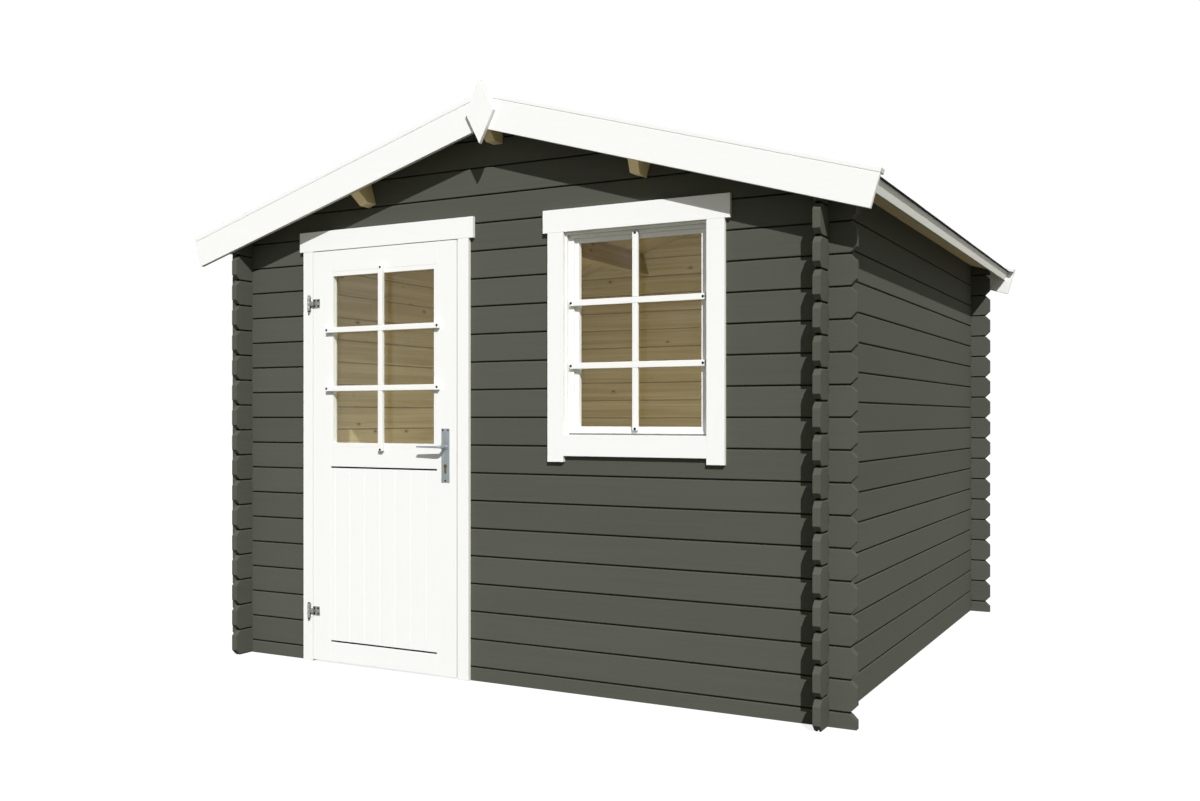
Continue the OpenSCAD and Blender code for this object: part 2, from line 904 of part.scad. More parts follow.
module lever_handle() {
  color(steel)
    translate([lever_x, 0, lever_z])
      union() {
        translate([0, leaf_back + lever_out - blade_d / 2, 0])
          rotate([90, 0, 0])
            cylinder(r = spindle_r, h = leaf_t + 2 * lever_out - blade_d);
        translate([0, leaf_y - neck_gap, 0])
          rotate([90, 0, 0])
            cylinder(r = neck_r, h = lever_out - blade_d / 2 - neck_gap);
        translate([0, leaf_back + lever_out - blade_d / 2, 0])
          rotate([90, 0, 0])
            cylinder(r = neck_r, h = lever_out - blade_d / 2 - neck_gap);
        translate([0, leaf_y, 0])
          blade();
        translate([0, leaf_back, 0])
          mirror([0, 1, 0])
            blade();
      }
}

module window_frame() {
  y1 = face_y + frame_d;
  color(white)
    difference() {
      box(frame_l, frame_r, face_y, y1, frame_z0, frame_z1);
      box(light_l, light_r, face_y - past, y1 + past, light_z0, light_z1);
      box(sash_l, sash_r, sash_y, y1 + past, sash_z0, sash_z1);
    }
}

// the front edge of the sash is rebated below, so that water drips off clear of the frame
// the cutter for a bevel around a rectangular light, open towards -Y
module light_bevel(x0, x1, z0, z1, y, b) {
  intersection() {
    translate([0, 0, z0 - b])
      linear_extrude(z1 - z0 + 2 * b)
        polygon([[x0 - b, y - past], [x1 + b, y - past], [x1 + b, y],
          [x1, y + b], [x0, y + b], [x0 - b, y]]);
    translate([x0 - b, 0, 0])
      rotate([90, 0, 90])
        linear_extrude(x1 - x0 + 2 * b)
          polygon([[y - past, z0 - b], [y, z0 - b], [y + b, z0],
            [y + b, z1], [y, z1 + b], [y - past, z1 + b]]);
  }
}

module window_sash() {
  f = sash_fit;
  w = step_w;
  g = glass_seat;
  y1 = sash_y + sash_t + past;
  color(white)
    difference() {
      box(sash_l + f, sash_r - f, sash_y, sash_y + sash_t, sash_z0 + f, sash_z1 - f);
      box(daylight_l, daylight_r, sash_y - past, y1, daylight_z0, daylight_z1);
      box(daylight_l - g, daylight_r + g, wglass_y, y1, daylight_z0 - g, daylight_z1 + g);
      box(light_l, light_r, sash_y - past, sash_y + drip_d, sash_z0, light_z0 + drip_h);
      box(daylight_l - w, daylight_r + w, sash_y - past, sash_y + step_d, daylight_z0 - w, daylight_z1 + w);
      light_bevel(daylight_l, daylight_r, daylight_z0, daylight_z1, sash_y + step_d, sash_bevel);
    }
}

module window_glass() {
  g = glass_seat - sash_fit;
  color(clear)
    box(daylight_l - g, daylight_r + g, wglass_y, wglass_y + glass_t, daylight_z0 - g, daylight_z1 + g);
}

module window_side_casings() {
  z0 = win_z - win_casing_tail;
  z1 = open_z - win_head_lap;
  color(white) {
    box(win_l - casing_lap, win_l - casing_lap + win_casing_w, casing_y, face_y, z0, z1);
    box(win_r + casing_lap - win_casing_w, win_r + casing_lap, casing_y, face_y, z0, z1);
  }
}

module window_head_casing() {
  reach = casing_lap + casing_ear;
  z0 = open_z - win_head_lap;
  color(white)
    box(win_l - reach, win_r + reach, casing_y, face_y, z0, z0 + win_casing_h);
}

module window_apron() {
  inset = win_casing_w - casing_lap;
  z1 = win_z + apron_up;
  color(white)
    box(win_l + inset, win_r - inset, casing_y, face_y, z1 - apron_h, z1);
}

// the bearers butt against the lowest logs of the side walls
module floor_bearers() {
  end = half - log_t;
  y0 = -inside + bearer / 2;
  step = (2 * inside - 2 * bearer) / (bearers - 1);
  color(pine)
    for (i = [0:bearers - 1])
      box(-end, end, y0 + i * step, y0 + bearer + i * step, 0, bearer);
}

module floor_boards() {
  out = door_gap + door_casing_w + floor_gap;
  color(pine)
    difference() {
      box(-inside, inside, -inside, inside, bearer, floor_z);
      box(leaf_l - out, leaf_r + out, -inside - past, stop_y + casing_t + floor_gap, 0, floor_z + past);
    }
}

left_wall_logs();
right_wall_logs();
back_wall_logs();
back_gable_logs();
logs_left_of_door();
logs_below_window();
logs_beside_door();
logs_right_of_window();
front_gable_logs();
ridge_purlin();
side_purlins();
left_roof_boards();
right_roof_boards();
roof_felt();
front_bargeboards();
back_bargeboards();
front_verge_strips();
back_verge_strips();
gable_diamonds();
eave_laths();
door_hinge_jamb();
door_latch_jamb();
door_head();
door_threshold();
door_side_casings();
door_head_casing();
door_inner_casings();
hinge_plates();
door_stiles();
door_rails();
door_panel();
door_beads();
door_glass();
hinge_leaves();
lock_plates();
lever_handle();
window_frame();
window_sash();
window_glass();
window_side_casings();
window_head_casing();
window_apron();
floor_bearers();
floor_boards();
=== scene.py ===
import json
import math

import bmesh
import bpy
from mathutils import Matrix, Vector, noise


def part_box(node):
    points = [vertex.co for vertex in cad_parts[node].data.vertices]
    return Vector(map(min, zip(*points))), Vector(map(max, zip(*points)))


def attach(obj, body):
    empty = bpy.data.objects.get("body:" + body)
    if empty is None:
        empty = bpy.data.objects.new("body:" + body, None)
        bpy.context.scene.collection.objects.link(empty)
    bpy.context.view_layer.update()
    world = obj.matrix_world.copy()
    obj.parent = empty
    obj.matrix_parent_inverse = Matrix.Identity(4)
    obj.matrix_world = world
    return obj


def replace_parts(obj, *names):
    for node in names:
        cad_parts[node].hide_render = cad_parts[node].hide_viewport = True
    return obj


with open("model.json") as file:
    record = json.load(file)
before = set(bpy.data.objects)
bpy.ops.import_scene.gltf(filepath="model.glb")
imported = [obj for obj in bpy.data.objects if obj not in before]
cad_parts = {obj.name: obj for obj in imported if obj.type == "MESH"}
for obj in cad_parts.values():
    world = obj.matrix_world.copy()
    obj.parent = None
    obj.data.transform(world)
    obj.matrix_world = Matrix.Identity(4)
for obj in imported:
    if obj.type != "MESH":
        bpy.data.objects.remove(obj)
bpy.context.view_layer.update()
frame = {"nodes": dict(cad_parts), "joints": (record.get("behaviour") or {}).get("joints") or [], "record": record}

# Log-built garden shed: the finish of every piece, and the boards, felt, bars and fixings.
# Metres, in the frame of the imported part: +Z is up, the front with the door faces -Y.

# Sizes shared by several pieces
STRIP_ARRIS = 0.003
BROAD_ARRIS = 0.002
BOARD_ARRIS = 0.0015
ARRIS = 0.0012
PLATE_ARRIS = 0.0009
FINE_ARRIS = 0.0006
STEEL_ARRIS = 0.0004
FLUSH_ARRIS = 0.00025
WELD = 1e-6
FLAT = math.radians(1)
CORNER = math.radians(25)
ROUND = math.radians(40)

# The roof, worked out from the boards on the right-hand slope
PITCH = math.radians(16.3)
RISE = math.tan(PITCH)
SIN = math.sin(PITCH)
COS = math.cos(PITCH)
ROOF_BOARD_T = 0.019
roof_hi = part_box("right_roof_boards")[1]
RIDGE_Z = roof_hi.z
EAVE_X = roof_hi.x
VERGE_Y = roof_hi.y

# The log walls, worked out from the right-hand wall
COURSE = 0.115
wall_lo, wall_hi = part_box("right_wall_logs")
LOG_MIDDLE = (wall_lo.x + wall_hi.x) / 2
LOG_HALF = (wall_hi.x - wall_lo.x) / 2
LOG_TIP = wall_hi.y


def tone(red, green, blue):
    """A colour as seen on a screen, 0 to 255, in the linear numbers that a shader takes."""
    def linear(level):
        share = level / 255
        return share / 12.92 if share <= 0.04045 else ((share + 0.055) / 1.055) ** 2.4
    return (linear(red), linear(green), linear(blue), 1.0)


PAINT_DEEP = tone(81, 82, 74)
PAINT_PALE = tone(89, 90, 82)
WHITE_DEEP = tone(235, 235, 234)
WHITE_PALE = tone(241, 241, 241)
# painted shade for white faces that look to either side
WHITE_SIDE_SHADE = tone(227, 227, 220)
# painted shade for white faces that look down
WHITE_UNDER_SHADE = tone(184, 184, 166)
# painted shade for the downward-facing flank of the vees between the logs
PAINT_SEAM_SHADE = tone(33, 33, 27)
# painted shade for the gaps at the tongues, which show as dark dots at the log ends
TONGUE_SHADE = tone(16, 16, 13)
PINE_PALE = tone(207, 192, 151)
PINE_DEEP = tone(179, 160, 116)
PINE_HONEY = tone(192, 172, 126)
# painted shade for the vees between the logs on the room side
PINE_SEAM_SHADE = tone(112, 90, 58)
# painted light: paler pine for the soffit and purlin ends out past the walls
PINE_OPEN_LIT = tone(240, 219, 166)
# bare wood darkened with painted shade, for the slots round the door's panel
SLOT_BARE_SHADED = tone(50, 47, 36)
KNOT_RIM = tone(166, 132, 86)
KNOT_HEART = tone(118, 86, 54)
FELT_DEEP = tone(14, 14, 15)
FELT_PALE = tone(42, 43, 45)
STEEL_DEEP = tone(128, 136, 140)
STEEL_PALE = tone(154, 161, 164)
SCREW_DEEP = tone(26, 28, 34)
SCREW_PALE = tone(44, 48, 56)
ZINC_DEEP = tone(128, 131, 124)
ZINC_PALE = tone(156, 159, 152)
IRON_DEEP = tone(20, 21, 24)
IRON_PALE = tone(38, 40, 44)
BRASS_DEEP = tone(84, 78, 48)
BRASS_PALE = tone(116, 108, 70)
CLEAR = tone(248, 251, 249)
WHITE = (1.0, 1.0, 1.0, 1.0)
SKY_LIGHT = (0.335, 0.335, 0.31, 1.0)
FLOOR_BOUNCE = (0.2, 0.2, 0.18, 1.0)
FLOOR_VEIL = (0.2, 0.2, 0.2, 1.0)


def operator(name, swapped=False):
    """An operator of Sock that adds one Math node."""
    def apply(self, other):
        pair = (other, self) if swapped else (self, other)
        return self.finish.math(name, *pair)
    return apply


class Sock:
    """A socket in a finish. Sums and products of these, or of one and a number, add Math nodes."""

    def __init__(self, finish, socket):
        self.finish = finish
        self.socket = socket

    __add__ = operator("ADD")
    __radd__ = operator("ADD", swapped=True)
    __sub__ = operator("SUBTRACT")
    __rsub__ = operator("SUBTRACT", swapped=True)
    __mul__ = operator("MULTIPLY")
    __rmul__ = operator("MULTIPLY", swapped=True)
    __truediv__ = operator("DIVIDE")
    __rtruediv__ = operator("DIVIDE", swapped=True)
    __lt__ = operator("LESS_THAN")
    __gt__ = operator("GREATER_THAN")


class Finish:
    """One material and its nodes."""

    def __init__(self, name, owner=None):
        self.owner = owner or bpy.data.materials.new(name)
        self.owner.use_nodes = True
        self.tree = self.owner.node_tree
        self.tree.nodes.clear()

    def add(self, kind, settings=None, sockets=None, out=0):
        """A node of this kind: its settings first, then the values or links of its sockets."""
        node = self.tree.nodes.new(kind)
        for key, value in (settings or {}).items():
            setattr(node, key, value)
        for key, value in (sockets or {}).items():
            if isinstance(value, Sock):
                self.tree.links.new(value.socket, node.inputs[key])
            else:
                node.inputs[key].default_value = value
        return Sock(self, node.outputs[out]) if len(node.outputs) else node

    def math(self, operation, *values):
        return self.add("ShaderNodeMath", {"operation": operation}, dict(enumerate(values)))

    def mix(self, share, first, second):
        """The first colour, with a share of the second."""
        return self.add("ShaderNodeMix", {"data_type": "RGBA"}, {0: share, 6: first, 7: second}, out=2)

    def ease(self, value, low, high):
        """0 where value is at low, 1 at high, and a soft step between them."""
        ends = {"Value": value, "From Min": low, "From Max": high}
        return self.add("ShaderNodeMapRange", {"interpolation_type": "SMOOTHSTEP"}, ends)

    def split(self, vector):
        parts = self.add("ShaderNodeSeparateXYZ", None, {0: vector}).socket.node
        return [Sock(self, socket) for socket in parts.outputs]

    def place(self, along="x"):
        """Where a point lies at rest: along the grain first, then the two ways across it."""
        x, y, z = self.split(self.add("ShaderNodeTexCoord", out="Object"))
        return {"x": (x, y, z), "y": (y, x, z), "z": (z, x, y)}[along]

    def facing(self):
        """Which way a face looks at rest."""
        return self.split(self.add("ShaderNodeTexCoord", out="Normal"))

    def other(self, sock, name):
        """Another output of the node that a socket belongs to."""
        return Sock(self, sock.socket.node.outputs[name])

    def looked_at(self):
        """1 for what the eye, a mirror or glass looks at, 0 for light on its way to other things."""
        path = self.add("ShaderNodeLightPath", out="Is Camera Ray")
        seen = self.math("MAXIMUM", path, self.other(path, "Is Glossy Ray"))
        return self.math("MAXIMUM", seen, self.other(path, "Is Transmission Ray"))

    def join(self, x, y, z=0.0):
        return self.add("ShaderNodeCombineXYZ", None, {0: x, 1: y, 2: z})

    def board(self):
        """A number from 0 to 1 that is the same all over one board or log."""
        return self.add("ShaderNodeNewGeometry", out="Random Per Island")

    def noise(self, spot, scale, detail=2.0, rough=0.5):
        sockets = {"Vector": spot, "Scale": scale, "Detail": detail, "Roughness": rough}
        return self.add("ShaderNodeTexNoise", None, sockets)

    def grain(self, along, long=1.6, fine=75.0):
        """Fibres that run along one axis, and start anew on each board."""
        a, b, c = self.place(along)
        board = self.board()
        return self.noise(self.join(a * long + board * 37.0, b * fine, c * fine), 1.0, 4.0, 0.6)

    def bump(self, height, depth, strength):
        return self.add("ShaderNodeBump", None, {"Height": height, "Distance": depth, "Strength": strength})

    def surface(self, colour, roughness, normal=None, **plain):
        """Ends the tree in a Principled shader; plain values stay on its own sockets."""
        sockets = {"Base Color": colour, "Roughness": roughness}
        if normal is not None:
            sockets["Normal"] = normal
        sockets.update({key.replace("_", " "): value for key, value in plain.items()})
        return self.show(self.add("ShaderNodeBsdfPrincipled", None, sockets))

    def show(self, shader):
        self.add("ShaderNodeOutputMaterial", None, {"Surface": shader})
        return self.owner


def pine_look(f, along):
    """Colour and height of planed pine: fibres, broad bands and knots."""
    knot_rate = 4.2
    a, b, c = f.place(along)
    board = f.board()
    start = a + board * 37.0
    across = b + c * 1.37 + board * 11.0
    spots = {"Vector": f.join(start * 0.8, across), "Scale": knot_rate, "Randomness": 1.0}
    cells = f.add("ShaderNodeTexVoronoi", {"voronoi_dimensions": "2D"}, spots)
    chance = f.add("ShaderNodeSeparateColor", None, {0: f.other(cells, "Color")})
    size = f.ease(chance, 0.15, 1.0) * 1.2 + 0.0001
    reach = cells / knot_rate / size
    bend = f.ease(reach, 0.055, 0.0) * 0.016
    fibre = f.noise(f.join(start * 1.7, (across + bend) * 85.0), 1.0, 4.0, 0.6)
    band = f.noise(f.join(start * 0.8, (across + bend) * 21.0, board * 9.0), 1.0, 2.0)
    streak = f.ease(fibre * 0.45 + band * 0.55, 0.34, 0.66)
    colour = f.mix(streak, PINE_PALE, PINE_DEEP)
    colour = f.mix(board * 0.4, colour, PINE_HONEY)
    colour = f.mix(f.ease(reach, 0.024, 0.006) * 0.5, colour, KNOT_RIM)
    heart = f.ease(reach, 0.0105, 0.004)
    colour = f.mix(heart * 0.75, colour, KNOT_HEART)
    return colour, fibre * 0.7 + heart * 0.3


def painted_log(along, first_seam):
    """Matt grey paint over the outside of the logs, with painted shade in the top flank of each vee and near-black
    painted shade on the tongue ends; bare pine in the room, with painted shade in its vees.
    """
    vee = 0.006
    lit_flank = -0.0026
    vee_lip = 0.001
    vee_depth = 0.0032
    tongue = 0.0076
    tongue_half = 0.0045
    tongue_foot = -0.0006
    end_bevel = 0.004
    f = Finish("painted_log_" + along)
    x, y, z = f.place()
    away_x = f.math("ABSOLUTE", x)
    away_y = f.math("ABSOLUTE", y)
    inner = (away_x < LOG_MIDDLE) * (away_y < LOG_MIDDLE)
    run, across = (away_x, away_y) if along == "x" else (away_y, away_x)
    middle = f.math("ABSOLUTE", across - LOG_MIDDLE)
    over = f.math("WRAP", z - first_seam, COURSE / 2, -COURSE / 2)
    deep = f.ease(LOG_HALF - middle, vee_lip, vee_depth)
    in_vee = deep * (f.math("ABSOLUTE", over) < vee) * (run < LOG_TIP - end_bevel)
    on_tongue = (middle < tongue_half) * (over < tongue) * (over > tongue_foot)
    pine, pine_height = pine_look(f, along)
    # painted shade: the pine in the room-side vees is painted darker
    pine = f.mix(in_vee * 0.35, pine, PINE_SEAM_SHADE)
    fibre = f.grain(along)
    broad = f.noise(f.join(x * 1.3, y * 1.3, z * 3.0), 1.0, 3.0)
    paint = f.mix(fibre * 0.75 + f.board() * 0.5 + broad * 0.5 - 0.4, PAINT_DEEP, PAINT_PALE)
    # painted shade: the upper flank of each outer vee faces down and is painted near black; below lit_flank the
    # grey paint stays and catches the light
    paint = f.mix(in_vee * (over > lit_flank), paint, PAINT_SEAM_SHADE)
    # painted shade: the tongue and groove at each seam are painted near black, so the shadowed gaps show at the
    # log ends
    paint = f.mix(on_tongue, paint, TONGUE_SHADE)
    height = inner * pine_height + (1 - inner) * fibre
    normal = f.bump(height, 0.0005, 0.5)
    return f.surface(f.mix(inner, paint, pine), fibre * 0.16 + 0.62, normal, Specular_IOR_Level=0.008)


def bare_pine(along, name="bare_pine_", painted_light_share=0.0):
    """Planed pine, left bare; where it stands out past the walls it may be painted paler, painted light that
    stands in for the light bounced up under the eaves.
    """
    f = Finish(name + along)
    colour, height = pine_look(f, along)
    if painted_light_share:
        x, y, _ = f.place()
        past_x = f.math("ABSOLUTE", x) > LOG_MIDDLE
        past_y = f.math("ABSOLUTE", y) > LOG_MIDDLE
        # painted light: pine out past the walls, under the eaves and at the purlin ends, is painted paler
        colour = f.mix(f.math("MAXIMUM", past_x, past_y) * painted_light_share, colour, PINE_OPEN_LIT)
    return f.surface(colour, height * 0.2 + 0.5, f.bump(height, 0.0004, 0.35), Specular_IOR_Level=0.1)


def white_paint(along, name="white_paint_", bare=None):
    """Satin white over planed wood, with painted shade on side faces and under faces; inside a given box, bare
    wood darkened with painted shade.
    """
    f = Finish(name + along)
    brush = f.grain(along, 2.2, 160.0)
    fibre = f.grain(along, 1.2, 45.0)
    colour = f.mix(brush * 0.6 + fibre * 0.4, WHITE_DEEP, WHITE_PALE)
    way_x, _, way_z = f.facing()
    # painted shade: faces that look to either side are painted darker
    colour = f.mix(f.ease(f.math("ABSOLUTE", way_x), 0.5, 0.8), colour, WHITE_SIDE_SHADE)
    # painted shade: faces that look down are painted darker still
    colour = f.mix(f.ease(way_z, -0.5, -0.8), colour, WHITE_UNDER_SHADE)
    if bare:
        lo, hi = bare
        _, y, z = f.place()
        inside = (y > lo.y) * (y < hi.y) * (z > lo.z) * (z < hi.z)
        # painted shade: inside the box the faces take a dark bare-wood tone, darker than bare pine
        colour = f.mix(inside, colour, SLOT_BARE_SHADED)
    normal = f.bump(brush * 0.5 + fibre * 0.5, 0.0003, 0.25)
    return f.surface(colour, brush * 0.2 + 0.4, normal, Specular_IOR_Level=0.04)


def mineral_felt():
    """Black roof felt with slate grains pressed into it."""
    f = Finish("mineral_felt")
    x, y, z = f.place()
    spot = f.join(x, y, z)
    grit = f.add("ShaderNodeTexVoronoi", None, {"Vector": spot, "Scale": 620.0}, out="Color")
    grit = f.add("ShaderNodeSeparateColor", None, {0: grit})
    blotch = f.noise(spot, 2.6, 3.0)
    worn = f.ease(blotch, 0.35, 0.75)
    colour = f.mix(grit * 0.6 + worn * 0.3, FELT_DEEP, FELT_PALE)
    return f.surface(colour, grit * 0.1 + 0.86, f.bump(grit, 0.0008, 0.6), Specular_IOR_Level=0.2)


def window_pane():
    """Clear glass: lets light and sight through, with a weak mirror that grows at low angles."""
    f = Finish("window_pane")
    x, y, z = f.place()
    film = f.noise(f.join(x, y, z), 5.0, 3.0)
    gloss = f.add("ShaderNodeFresnel", None, {"IOR": 1.45}) * 0.4 + f.ease(film, 0.5, 0.8) * 0.012
    clear = f.add("ShaderNodeBsdfTransparent", None, {"Color": CLEAR})
    mirror = f.add("ShaderNodeBsdfAnisotropic", None, {"Color": CLEAR, "Roughness": 0.03})
    return f.show(f.add("ShaderNodeMixShader", None, {0: gloss, 1: clear, 2: mirror}))


def metal(name, deep, pale, along, rough, bare=1.0, gloss=0.5):
    """Brushed metal, with fine lines along one axis; bare metal, or blacked where bare is 0."""
    f = Finish(name)
    lines = f.grain(along, 8.0, 900.0)
    colour = f.mix(lines, deep, pale)
    normal = f.bump(lines, 0.0001, 0.2)
    return f.surface(colour, lines * 0.14 + rough, normal, Metallic=bare, Specular_IOR_Level=gloss)


# Bare wood shows in the slots round the door's panel, between its front and back skins of paint; it is painted
# much darker than bare pine, painted shade in the slots, on the panel and on the rails
SLOT_FRONT = Vector((0, 0.002, 0))
SLOT_BACK = Vector((0, 0.003, 0))
panel_lo, panel_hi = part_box("door_panel")
slot_shade_box = (panel_lo + SLOT_FRONT, panel_hi - SLOT_BACK)

FINISH = {"paint_x": painted_log("x", COURSE / 2), "paint_y": painted_log("y", 0.0)}
FINISH.update({"white_" + axis: white_paint(axis) for axis in "xyz"})
FINISH.update({"pine_" + axis: bare_pine(axis) for axis in "xy"})
FINISH["roof_pine"] = bare_pine("x", "roof_pine_", painted_light_share=0.75)
FINISH["purlin_pine"] = bare_pine("y", "purlin_pine_", painted_light_share=0.6)
# the panel and the rails carry painted shade on their faces inside the slots
FINISH["panel_white"] = white_paint("z", "panel_paint_", bare=slot_shade_box)
FINISH["rail_white"] = white_paint("x", "rail_paint_", bare=slot_shade_box)
FINISH["felt"] = mineral_felt()
FINISH["glass"] = window_pane()
FINISH["steel"] = metal("brushed_steel", STEEL_DEEP, STEEL_PALE, "z", rough=0.34, bare=0.35)
FINISH["zinc"] = metal("dull_zinc", ZINC_DEEP, ZINC_PALE, "z", rough=0.42)
FINISH["screw"] = metal("screw_steel", SCREW_DEEP, SCREW_PALE, "x", rough=0.4)
FINISH["iron"] = metal("black_iron", IRON_DEEP, IRON_PALE, "x", rough=0.7, bare=0.0, gloss=0.05)
FINISH["brass"] = metal("dull_brass", BRASS_DEEP, BRASS_PALE, "z", rough=0.42)

SLOT_OF = {row["node"]: row["material_slot"] for row in frame["record"]["subparts"]}
BODY_OF = {
    node: body
    for body, nodes in frame["record"]["behaviour"]["bodies"].items()
    for node in nodes
}


def lowest_first(ring):
    """A face's corner numbers, turned so that the lowest comes first."""
    turn = ring.index(min(ring))
    return ring[turn:] + ring[:turn]


def piece(name, bm, finish, slot, body, smooth=False):
    """Turns a finished bmesh into a piece that rides on a body, with its faces sorted.

    Rounding leaves the faces in another order each run, and a board's own tint follows that order.
    """
    bmesh.ops.recalc_face_normals(bm, faces=bm.faces)
    bm.verts.index_update()
    corners = [tuple(corner.co) for corner in bm.verts]
    rings = sorted(lowest_first([corner.index for corner in face.verts]) for face in bm.faces)
    bm.free()
    mesh = bpy.data.meshes.new(name)
    mesh.from_pydata(corners, [], rings)
    if smooth:
        mesh.shade_smooth()
        mesh.set_sharp_from_angle(angle=ROUND)
    mesh.materials.append(FINISH[finish])
    thing = bpy.data.objects.new(name, mesh)
    bpy.context.scene.collection.objects.link(thing)
    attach(thing, body)
    return thing


def islands(bm):
    """The separate solids of a mesh, each as a set of corners, in the mesh's own order."""
    seen = set()
    for first in bm.verts:
        if first in seen:
            continue
        solid = set()
        edge = [first]
        while edge:
            corner = edge.pop()
            if corner in solid:
                continue
            solid.add(corner)
            edge += [link.other_vert(corner) for link in corner.link_edges]
        seen |= solid
        yield solid


def round_arrises(bm, width, steps=2):
    """Rounds the outer edges of each solid by itself."""
    for solid in list(islands(bm)):
        outer = [
            edge for edge in bm.edges
            if edge.is_valid and edge.verts[0] in solid and edge.is_manifold
            and edge.calc_face_angle_signed() > CORNER
        ]
        bmesh.ops.bevel(bm, geom=outer, offset=width, offset_type="OFFSET", segments=steps,
                        profile=0.5, affect="EDGES", clamp_overlap=True)


def eased(node, finish, width=ARRIS, smooth=False, shape=None):
    """A CAD node with its arrises rounded, in its finish; shape may change its corners first."""
    bm = bmesh.new()
    bm.from_mesh(frame["nodes"][node].data)
    bmesh.ops.remove_doubles(bm, verts=bm.verts, dist=WELD)
    bmesh.ops.dissolve_limit(bm, angle_limit=FLAT, verts=bm.verts, edges=bm.edges)
    if shape:
        shape(bm)
    round_arrises(bm, width)
    thing = piece(node + ".eased", bm, finish, SLOT_OF[node], BODY_OF[node], smooth)
    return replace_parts(thing, node)


def block(bm, lo, hi):
    """A box from its lowest to its highest corner."""
    size = [high - low for low, high in zip(lo, hi)]
    middle = [(low + high) / 2 for low, high in zip(lo, hi)]
    spot = Matrix.Translation(middle) @ Matrix.Diagonal((*size, 1.0))
    bmesh.ops.create_cube(bm, size=1.0, matrix=spot)


def prism(bm, near, far):
    """A solid between two outlines that have the same number of points."""
    first = [bm.verts.new(point) for point in near]
    last = [bm.verts.new(point) for point in far]
    bm.faces.new(first)
    bm.faces.new(reversed(last))
    for i in range(len(first)):
        j = (i + 1) % len(first)
        bm.faces.new((first[j], first[i], last[i], last[j]))


def loft(bm, rings):
    """A closed skin through rings of points."""
    rows = [[bm.verts.new(point) for point in ring] for ring in rings]
    for low, high in zip(rows, rows[1:]):
        for i in range(len(low)):
            j = (i + 1) % len(low)
            bm.faces.new((low[i], low[j], high[j], high[i]))
    bm.faces.new(reversed(rows[0]))
    bm.faces.new(rows[-1])


def turned(bm, outline, spot, steps=20):
    """A round piece on the axis of spot, from a list of (radius, height)."""
    rings = []
    for radius, height in outline:
        turns = [2 * math.pi * i / steps for i in range(steps)]
        rings.append([spot @ Vector((radius * math.cos(t), radius * math.sin(t), height)) for t in turns])
    loft(bm, rings)


def facing_out(x, y, z, way=-1):
    """A frame at a point whose axis points out of the front face, or out of the back face."""
    return Matrix.Translation((x, y, z)) @ Matrix.Rotation(-way * math.pi / 2, 4, "X")


# Log walls, purlins and roof edges

for node in ("logs_left_of_door", "logs_below_window", "logs_beside_door", "logs_right_of_window",
             "front_gable_logs", "back_wall_logs", "back_gable_logs"):
    eased(node, "paint_x")
for node in ("left_wall_logs", "right_wall_logs"):
    eased(node, "paint_y")
for node in ("ridge_purlin", "side_purlins"):
    eased(node, "purlin_pine", BROAD_ARRIS)
for node in ("front_bargeboards", "back_bargeboards"):
    eased(node, "white_x", BOARD_ARRIS)
for node in ("front_verge_strips", "back_verge_strips"):
    eased(node, "white_x", STRIP_ARRIS)
eased("gable_diamonds", "white_z", BOARD_ARRIS)
eased("eave_laths", "white_y")


def on_slope(x, lift, side=1):
    """A point of the roof's section: x out from the ridge, lift square to the slope over the boards."""
    return side * (x + lift * SIN), RIDGE_Z - RISE * x + lift * COS


def roof_boards(side, node):
    """Boards that run from the ridge to the eave, with a vee along each joint below."""
    cover = 0.096
    vee = 0.003
    gap = 0.0004
    count = math.ceil(2 * VERGE_Y / cover)
    bm = bmesh.new()
    for i in range(count):
        y0 = -VERGE_Y + i * cover + gap
        y1 = min(-VERGE_Y + (i + 1) * cover - gap, VERGE_Y)
        low = -ROOF_BOARD_T
        section = [(y0 + vee, low), (y1 - vee, low), (y1, low + vee), (y1, 0.0), (y0, 0.0), (y0, low + vee)]
        ridge = [(0.0, y, RIDGE_Z + lift / COS) for y, lift in section]
        eave = []
        for y, lift in section:
            x, z = on_slope(EAVE_X, lift, side)
            eave.append((x, y, z))
        prism(bm, ridge, eave)
    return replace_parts(piece(node + ".boards", bm, "roof_pine", "bare_pine", "shed"), node)


roof_boards(1, "right_roof_boards")
roof_boards(-1, "left_roof_boards")

FELT_T = 0.0024
FELT_BED = 0.0001
FELT_OVER = FELT_T * 1.15
FELT_LAP = 0.08
FELT_DRIP = 0.008
FELT_START = 0.25
RIDGE_CAP = 0.16
felt_mid = EAVE_X * 0.47
felt_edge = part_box("eave_laths")[1].x + FELT_DRIP


def felt_sheet(bm, course):
    """One sheet of felt from its (x, lift) course in section; it lies a little uneven along the roof."""
    steps = 60
    ripple_h = 0.0007
    rings = []
    for i in range(steps + 1):
        y = -VERGE_Y + 2 * VERGE_Y * i / steps
        row = []
        for x, lift in course:
            ripple = ripple_h * (noise.noise(Vector((x * 5.0, y * 4.0, 3.0))) + 0.4)
            side = 1 if x >= 0 else -1
            px, pz = on_slope(abs(x), lift, side)
            qx, qz = on_slope(abs(x), lift + FELT_T + max(ripple, 0.0), side)
            row.append(((px, y, pz), (qx, y, qz)))
        row.sort(key=lambda pair: pair[0][0])
        rings.append([low for low, high in row] + [high for low, high in reversed(row)])
    loft(bm, rings)


def spread(start, stop, lift, count=8):
    """Points along the slope from start to stop at one height over the boards."""
    return [(start + (stop - start) * i / (count - 1), lift) for i in range(count)]


